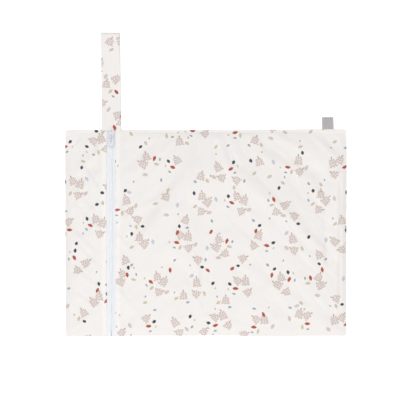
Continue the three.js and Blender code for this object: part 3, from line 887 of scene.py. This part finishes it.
def front_cloth(side):
    """One front panel as a single cut of cloth, turned under along the zip and rolled down at the seam."""
    settings = cloth()
    solid = FRONT[side]
    width = BODY_HIGH[0] - ZIP_X if side == RIGHT else ZIP_X - BODY_LOW[0]
    fold_radius = settings.fold
    bend = settings.opening + fold_radius
    angles = np.radians(spaced(-90, 90, 18))
    under = spaced(bend + settings.fold_depth, bend, settings.cell)[:-1]
    rim = width - RIM_LINES[::-1]
    over = spaced(bend, rim[0], settings.cell)[1:-1]
    away = np.concatenate([under, bend - fold_radius * np.cos(angles), over, rim])
    drop = np.concatenate([
        2 * fold_radius + FOLD_SLOPE * (under - bend),
        fold_radius - fold_radius * np.sin(angles),
        np.zeros(len(over) + len(rim)),
    ])
    cut = np.concatenate([[0], np.cumsum(np.hypot(np.diff(away), np.diff(drop)))])
    if side == LEFT:
        away, drop, cut = away[::-1], drop[::-1], cut[::-1]
    rows = body_rows()
    plan_x, plan_y = np.meshgrid(ZIP_X + side * away, rows, indexing="ij")
    xs, ys = to_outline(plan_x, plan_y)

    measured = ZIP_X + side * np.clip(away, bend + 0.6 * MM, width - 0.3 * MM)
    inner_rows = np.clip(rows, BODY_LOW[1] + 0.3 * MM, BODY_HIGH[1] - 0.3 * MM)
    reach_x, reach_y = to_outline(*np.meshgrid(measured, inner_rows, indexing="ij"))
    heights = solid.heights(reach_x, reach_y)
    for _ in range(24):
        near = heights[:-2, 1:-1] + heights[2:, 1:-1] + heights[1:-1, :-2] + heights[1:-1, 2:]
        heights[1:-1, 1:-1] = heights[1:-1, 1:-1] * 0.5 + near * 0.125
    shaped_x = ZIP_X + side * np.maximum(away, bend)[:, None] + 0 * plan_y
    sunk = smooth(1 - (away - bend) / (18 * MM))[:, None]
    heights = heights - settings.fold_sink * sunk - settings.sink * (1 - sunk)
    relief = puckers(shaped_x, plan_y, side) + creases(shaped_x, plan_y)
    heights = heights + settings.relief * np.tanh(relief / settings.relief)
    folded = heights - drop[:, None]

    kept = rim_factor(edge_distance(plan_y, 1), settings.rim)
    kept = kept * rim_factor(width - away, settings.side_roll)[:, None]
    seam = front_seam(plan_x, plan_y)
    zs = seam + (np.maximum(folded, seam) - seam) * kept
    offset = 0.31 if side == RIGHT else 0.047
    us = np.broadcast_to((side * cut + offset)[:, None], xs.shape)
    vs = plan_y + (0.0 if side == RIGHT else 0.083)
    doubled = smooth((bend + settings.fold_depth - away) / (1.5 * MM))
    mesh = cloth_grid(xs, ys, zs, us, vs, doubled)
    name, node = ("front_cloth", "front_panel") if side == RIGHT else ("zip_side_cloth", "zip_side_panel")
    tree = BVHTree.FromBMesh(mesh)
    piece = add_piece(name, mesh, cloth_materials(), "bag", node)
    solidify(piece, settings.ply, lined=True)
    return tree


def back_cloth():
    """The rear wall: flat on the floor, rolled up to the seam all round."""
    settings = cloth()
    middle = between_rims(0, 2 * settings.cell)
    for left, right in ROOTS:
        clear = (middle < left - ROOT_LINES[-1]) | (middle > right + ROOT_LINES[-1])
        middle = middle[clear | ((middle > left) & (middle < right))]
        middle = np.sort(np.concatenate([middle, left - ROOT_LINES, right + ROOT_LINES]))
    plan_x, plan_y = np.meshgrid(rimmed(0, middle)[::-1], body_rows(), indexing="ij")
    xs, ys = to_outline(plan_x, plan_y)
    distance = np.minimum(edge_distance(plan_x, 0), edge_distance(plan_y, 1))
    lifted = under_trim(plan_x, plan_y, ROOT_LINES[1])
    lip = (front_seam(plan_x, plan_y) - 0.1 * MM) * (1 - lifted) + ROOT_LIP * lifted
    zs = lip * (1 - rim_factor(distance, settings.rim))
    mesh = cloth_grid(xs, ys, zs, -plan_x + 0.52, plan_y + 0.04)
    piece = add_piece("back_cloth", mesh, cloth_materials(), "bag", "back_panel")
    solidify(piece, settings.ply, lined=True)


def tape_line(side, rows):
    """Where a tape's inner edge stands and how high its upper face is, at places along the zip."""
    solid = TAPES[side]
    inside = np.clip(rows, solid.low[1] + MM, solid.high[1] - MM)
    middle = (solid.low[0] + solid.high[0]) / 2
    tops = solid.heights(np.full(len(rows), middle), inside)
    edges = []
    for y, top in zip(inside, tops):
        start = Vector((ZIP_X - side * 20 * MM, y, top - 0.4 * MM))
        edges.append(solid.tree.ray_cast(start, Vector((side, 0, 0)))[0].x)
    return np.array(edges), tops


def zip_tape(side):
    """One woven tape half, from the coil out under the folded cloth, caught in both seams."""
    solid = TAPES[side]
    outer = solid.high[0] - ZIP_X if side == RIGHT else ZIP_X - solid.low[0]
    rows = body_rows()
    inner_x, tops = tape_line(side, rows)
    shares = spaced(0, 1, 0.1)[::side]
    share, plan_y = np.meshgrid(shares, rows, indexing="ij")
    outer_x, ys = to_outline(np.full(share.shape, ZIP_X + side * outer), plan_y)
    xs = inner_x + (outer_x - inner_x) * share
    seam = seam_height(plan_y) + 0.1 * MM
    kept = rim_factor(edge_distance(plan_y, 1), cloth().rim)
    covered = smooth((share * outer - cloth().opening) / (2 * MM))
    zs = seam + (np.maximum(tops, seam) - seam) * kept - (TAPE_DROP + TAPE_MIDDLE_DROP * kept) * covered
    mesh = cloth_grid(xs, ys, zs, share * outer, plan_y)
    name = "zip_tape_" + SIDE_NAMES[side]
    tape = material("tape_herringbone", woven, zipper().tape, 1.1)
    piece = add_piece(name + "_weave", mesh, [tape], "bag", name)
    solidify(piece, TAPE_WALL)


def sweep(mesh, axis, climb, angle, steps):
    """Spins a ring about an axis through the origin in steps, and moves it along Y as it goes."""
    bmesh.ops.spin(
        mesh, geom=mesh.verts[:] + mesh.edges[:], cent=(0, 0, 0), axis=axis, dvec=(0, climb / steps, 0),
        angle=angle, steps=steps, use_merge=False, use_duplicate=False,
    )


def close_ends(mesh):
    bmesh.ops.holes_fill(mesh, edges=[edge for edge in mesh.edges if edge.is_boundary], sides=8)


def coil_turns(count):
    """Turns of nylon filament round the Y axis, flattened, from one turn that is repeated."""
    settings = zipper()
    half_height = settings.coil_height / 2 - settings.wire
    stretch = (settings.reach + settings.overlap) / 2 - settings.wire - half_height
    turn = bmesh.new()
    bmesh.ops.create_circle(
        turn, segments=6, radius=settings.wire, matrix=Matrix.Translation((half_height, 0, 0))
    )
    sweep(turn, (0, 1, 0), settings.pitch, 2 * math.pi, 8)
    mesh = repeated(turn, [Matrix.Translation((0, i * settings.pitch, 0)) for i in range(count)])
    bmesh.ops.remove_doubles(mesh, verts=mesh.verts, dist=0.01 * MM)
    close_ends(mesh)
    for vertex in mesh.verts:
        x = vertex.co.x
        vertex.co.x = x + math.copysign(stretch * min(abs(x) / half_height, 1), x)
    return mesh


def coil_core(length):
    """The straight filler that the turns are wound on."""
    settings = zipper()
    mesh = bmesh.new()
    bmesh.ops.create_circle(
        mesh, cap_ends=False, segments=8, radius=1, matrix=Matrix.Rotation(math.radians(90), 4, "X")
    )
    sweep(mesh, (0, 0, 1), length, 0, math.ceil(length / (2 * MM)))
    close_ends(mesh)
    half_width = (settings.reach + settings.overlap) / 2 - 1.5 * settings.wire
    half_height = settings.coil_height / 2 - 0.9 * settings.wire
    bmesh.ops.scale(mesh, vec=(half_width, 1, half_height), verts=mesh.verts)
    return mesh


def coil_sewing(count):
    """Two rows of chain stitches over the turns."""
    settings = zipper()
    size = Matrix.Diagonal((settings.chain, 1.25 * settings.pitch, 0.36 * MM, 1))
    middle = (settings.reach - settings.overlap) / 2
    places = []
    for line in (0.48, 0.79):
        x = line * settings.reach - middle
        lean = Matrix.Rotation(math.radians(9 if line < 0.6 else -9), 4, "Z")
        for i in range(count):
            spot = Matrix.Translation((x, (i + 0.5) * settings.pitch, settings.coil_height / 2))
            places.append(spot @ lean @ size)
    return beads(places)


def zip_coil(side):
    """One coil row, laid along its tape: filament turns, the core inside them and the sewing over them."""
    settings = zipper()
    solid = COILS[side]
    low, high = solid.low[1], solid.high[1]
    count = int((high - low) / settings.pitch) - 1
    start = low + (settings.pitch if side == RIGHT else 1.5 * settings.pitch) / 2
    rows = spaced(low, high, MM)
    inner_x, tops = tape_line(side, rows)
    middle = (settings.reach - settings.overlap) / 2
    yarn = material("coil_yarn", sewing_thread, settings.coil)
    parts = (
        ("turns", coil_turns(count), material("coil_filament", filament)),
        ("core", coil_core(count * settings.pitch), yarn),
        ("sewing", coil_sewing(count), yarn),
    )
    name = "zip_coil_" + SIDE_NAMES[side]
    for part, mesh, look in parts:
        for vertex in mesh.verts:
            x, y, z = vertex.co
            y += start
            inner, top = np.interp(y, rows, inner_x), np.interp(y, rows, tops)
            vertex.co = (inner + side * (middle + x), y, top + 0.1 * MM + settings.coil_height / 2 + z)
        bmesh.ops.recalc_face_normals(mesh, faces=mesh.faces)
        add_piece(name + "_" + part, mesh, [look], "bag", name)


def cast_piece(node, name, body):
    """A merged copy of a solid of the frame, its flat faces joined and its edges rounded."""
    mesh = bmesh.new()
    mesh.from_mesh(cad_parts[node].data)
    bmesh.ops.remove_doubles(mesh, verts=mesh.verts, dist=0.001 * MM)
    bmesh.ops.dissolve_limit(mesh, angle_limit=math.radians(1), verts=mesh.verts, edges=mesh.edges)
    piece = add_piece(name, mesh, [material("slider_lacquer", lacquer)], body, node)
    bevel(piece, zipper().edge)
    piece.modifiers.new("Normals", "WEIGHTED_NORMAL").keep_sharp = True


def ribbon(node, cell, uv_turn):
    """A folded ribbon's outer face, measured on its solid: up its underside, round the fold and back."""
    solid = TRIMS[node]
    radius = (solid.high[2] - solid.low[2]) / 2
    left, right = solid.sides()
    middle_x = (solid.low[0] + solid.high[0]) / 2
    root, tip = solid.low[1], solid.high[1] - radius
    ys = spaced(root, tip, cell)
    inner = np.clip(ys, root + 0.7 * MM, None)
    under = solid.heights(np.full(len(ys), middle_x), inner, downwards=False)
    over = solid.heights(np.full(len(ys), middle_x), inner)
    angles = np.radians(spaced(-90, 90, 15))[1:-1]
    path_y = np.concatenate([ys, tip + radius * np.cos(angles), ys[::-1]])
    path_z = np.concatenate([under, radius + radius * np.sin(angles), over[::-1]])
    path_s = np.concatenate([[0], np.cumsum(np.hypot(np.diff(path_y), np.diff(path_z)))])
    across = spaced(0, 1, cell / (solid.high[0] - solid.low[0]))
    low_x, high_x = np.interp(path_y, *left), np.interp(path_y, *right)
    xs = low_x[:, None] + (high_x - low_x)[:, None] * across[None, :]
    tuck = 2.0 * MM * (path_y < root + 0.1 * MM)
    grid_y = np.broadcast_to((path_y - tuck)[:, None], xs.shape)
    grid_z = np.broadcast_to(path_z[:, None], xs.shape).copy()
    flat_x = xs - middle_x
    flat_y = np.broadcast_to((path_s - path_s[-1] / 2)[:, None], xs.shape)
    us, vs = (flat_y + 0.1745, flat_x + 0.019) if uv_turn else (flat_x, flat_y)
    mesh = cloth_grid(xs, grid_y, grid_z, us, vs)
    width = float(np.mean(high_x - low_x))
    return mesh, (width, float(path_s[-1]))


def stitches(name, lines):
    """Sewn stitches, each lying along a pair of ends."""
    settings = zipper()
    places = []
    for start, end in lines:
        run = end - start
        turn = run.to_track_quat("X", "Z").to_matrix().to_4x4()
        size = Matrix.Diagonal((run.length, settings.sewing, settings.sewing * 0.8, 1))
        places.append(Matrix.Translation((start + end) / 2) @ turn @ size)
    look = material("sewing_thread", sewing_thread, settings.thread)
    add_piece(name, beads(places), [look], "bag")


def sewn_line(points, tree, downwards=True):
    """Pairs of ends for stitches that follow points over the cloth's upper side or its underside."""
    step, lift = (-1, UPPER_STITCH) if downwards else (1, UNDER_STITCH)
    ends = []
    for x, y in points:
        hit = tree.ray_cast(Vector((x, y, -step * 0.2)), Vector((0, 0, step)))[0]
        if hit is not None:
            ends.append(hit + Vector((0, 0, lift)))
    pairs = []
    for start, end in zip(ends[:-1], ends[1:]):
        gap = (end - start) * 0.1
        pairs.append((start + gap, end - gap))
    return pairs


class WETBAG_OT_back(bpy.types.Operator):
    """Makes the rear cloth wall"""

    bl_idname = "wetbag.back"
    bl_label = "Back Cloth"

    def execute(self, context):
        back_cloth()
        return {"FINISHED"}


class WETBAG_OT_front(bpy.types.Operator):
    """Makes both front cloth walls with their topstitching along the zip"""

    bl_idname = "wetbag.front"
    bl_label = "Front Cloths"

    def execute(self, context):
        settings = zipper()
        lines = []
        for side in (RIGHT, LEFT):
            tree = front_cloth(side)
            line_x = ZIP_X + side * (cloth().opening + settings.stitch_inset)
            rows = spaced(BODY_LOW[1] + 2.5 * MM, BODY_HIGH[1] - 2.5 * MM, settings.stitch)
            points = zip(*to_outline(np.full(len(rows), line_x), rows))
            lines.extend(sewn_line(points, tree))
        stitches("zip_topstitching", lines)
        return {"FINISHED"}


class WETBAG_OT_zip(bpy.types.Operator):
    """Makes the zip's tapes and coil rows"""

    bl_idname = "wetbag.zip"
    bl_label = "Zip Tapes and Coils"

    def execute(self, context):
        for side in (RIGHT, LEFT):
            zip_tape(side)
            zip_coil(side)
        return {"FINISHED"}


class WETBAG_OT_slider(bpy.types.Operator):
    """Makes the slider and its pull"""

    bl_idname = "wetbag.slider"
    bl_label = "Slider and Pull"

    def execute(self, context):
        cast_piece("zip_slider", "slider_casting", "bag")
        cast_piece("zip_pull", "pull_casting", "pull")
        return {"FINISHED"}


class WETBAG_OT_strap(bpy.types.Operator):
    """Makes the folded strap with its edge stitching"""

    bl_idname = "wetbag.strap"
    bl_label = "Strap"

    def execute(self, context):
        settings = trim()
        mesh, flat = ribbon("strap_loop", settings.strap_cell, uv_turn=True)
        tree = BVHTree.FromBMesh(mesh)
        look = material("printed_cloth", printed_cloth)
        piece = add_piece("strap_cloth", mesh, [look], "bag", "strap_loop")
        solidify(piece, STRAP_WALL)
        bevel(piece, settings.strap_edge)
        solid = TRIMS["strap_loop"]
        radius = (solid.high[2] - solid.low[2]) / 2
        lines = []
        rows = spaced(solid.low[1] + MM, solid.high[1] - radius, zipper().stitch)
        for side in (LEFT, RIGHT):
            edge = np.interp(rows, *solid.edge(0, side, RIBBON_LOW)) - side * settings.strap_stitch
            for downwards in (True, False):
                lines.extend(sewn_line(zip(edge, rows), tree, downwards))
        stitches("strap_stitching", lines)
        return {"FINISHED"}


class WETBAG_OT_label(bpy.types.Operator):
    """Makes the folded side label"""

    bl_idname = "wetbag.label"
    bl_label = "Label"

    def execute(self, context):
        mesh, flat = ribbon("side_label", 0.8 * MM, uv_turn=False)
        look = material("label_yarn", label_weave)
        piece = add_piece("label_tape", mesh, [look], "bag", "side_label")
        solidify(piece, LABEL_WALL)
        bevel(piece, trim().label_edge)
        return {"FINISHED"}


class WETBAG_OT_stage(bpy.types.Operator):
    """Makes the floor, the lights and the camera"""

    bl_idname = "wetbag.stage"
    bl_label = "Stage"

    def execute(self, context):
        settings = context.scene.wetbag_stage
        mesh = bmesh.new()
        bmesh.ops.create_grid(mesh, x_segments=1, y_segments=1, size=settings.floor)
        floor = linked("floor", mesh_data("floor", mesh))
        paper, graph, shader = start_material(
            "paper", 0.9, Base_Color=(0.8, 0.8, 0.8, 1), Emission_Color=(1, 1, 1, 1)
        )
        seen = graph.add("ShaderNodeLightPath").outputs["Is Camera Ray"]
        graph.feed(shader.inputs["Emission Strength"], graph.times(seen, settings.floor_glow))
        floor.data.materials.append(paper)

        world = bpy.data.worlds.new("studio")
        world.use_nodes = True
        background = world.node_tree.nodes["Background"]
        background.inputs["Color"].default_value = (1, 1, 1, 1)
        graph = Graph(world.node_tree)
        seen = graph.add("ShaderNodeLightPath").outputs["Is Camera Ray"]
        extra = settings.backdrop - settings.world_power
        strength = graph.times_plus(seen, extra, settings.world_power)
        graph.feed(background.inputs["Strength"], strength)
        context.scene.world = world

        for name, place, size in LIGHTS:
            lamp = bpy.data.lights.new(name, "AREA")
            lamp.shape = "SQUARE"
            lamp.size = size
            lamp.energy = getattr(settings, name + "_power")
            light = linked(name, lamp)
            light.location = Vector((*BODY_MIDDLE, 0)) + Vector(place)
            light.rotation_euler = (-Vector(place)).to_track_quat("-Z", "Y").to_euler()

        camera = bpy.data.cameras.new("camera")
        camera.lens = settings.lens
        camera.sensor_width = settings.view_width / settings.camera_height * settings.lens
        eye = linked("camera", camera)
        eye.location = (BODY_MIDDLE[0] + CAMERA_X, BODY_MIDDLE[1] + CAMERA_Y, settings.camera_height)
        context.scene.camera = eye
        context.scene.view_settings.view_transform = "Standard"
        return {"FINISHED"}


class WETBAG_PT_panel(bpy.types.Panel):
    """Lists the bag's pieces"""

    bl_label = "Wet Bag"
    bl_idname = "WETBAG_PT_panel"
    bl_space_type = "VIEW_3D"
    bl_region_type = "UI"
    bl_category = "Wet Bag"

    def draw(self, context):
        for operator in OPERATORS:
            self.layout.operator(operator.bl_idname)


OPERATORS = (
    WETBAG_OT_stage, WETBAG_OT_back, WETBAG_OT_front, WETBAG_OT_zip, WETBAG_OT_slider, WETBAG_OT_strap,
    WETBAG_OT_label,
)
SETTINGS = {
    "wetbag_cloth": WETBAG_PG_cloth,
    "wetbag_zip": WETBAG_PG_zip,
    "wetbag_trim": WETBAG_PG_trim,
    "wetbag_stage": WETBAG_PG_stage,
}
CLASSES = (*SETTINGS.values(), *OPERATORS, WETBAG_PT_panel)


def register():
    for cls in CLASSES:
        bpy.utils.register_class(cls)
    for name, group in SETTINGS.items():
        setattr(bpy.types.Scene, name, PointerProperty(type=group))


def unregister():
    for name in SETTINGS:
        delattr(bpy.types.Scene, name)
    for cls in reversed(CLASSES):
        bpy.utils.unregister_class(cls)


def main():
    register()
    for make_group in (leaf_group, lattice_group, sprig_group, print_group, weave_group, tone_group):
        make_group()
    for operator in OPERATORS:
        family, action = operator.bl_idname.split(".")
        getattr(getattr(bpy.ops, family), action)()


if __name__ == "__main__":
    main()
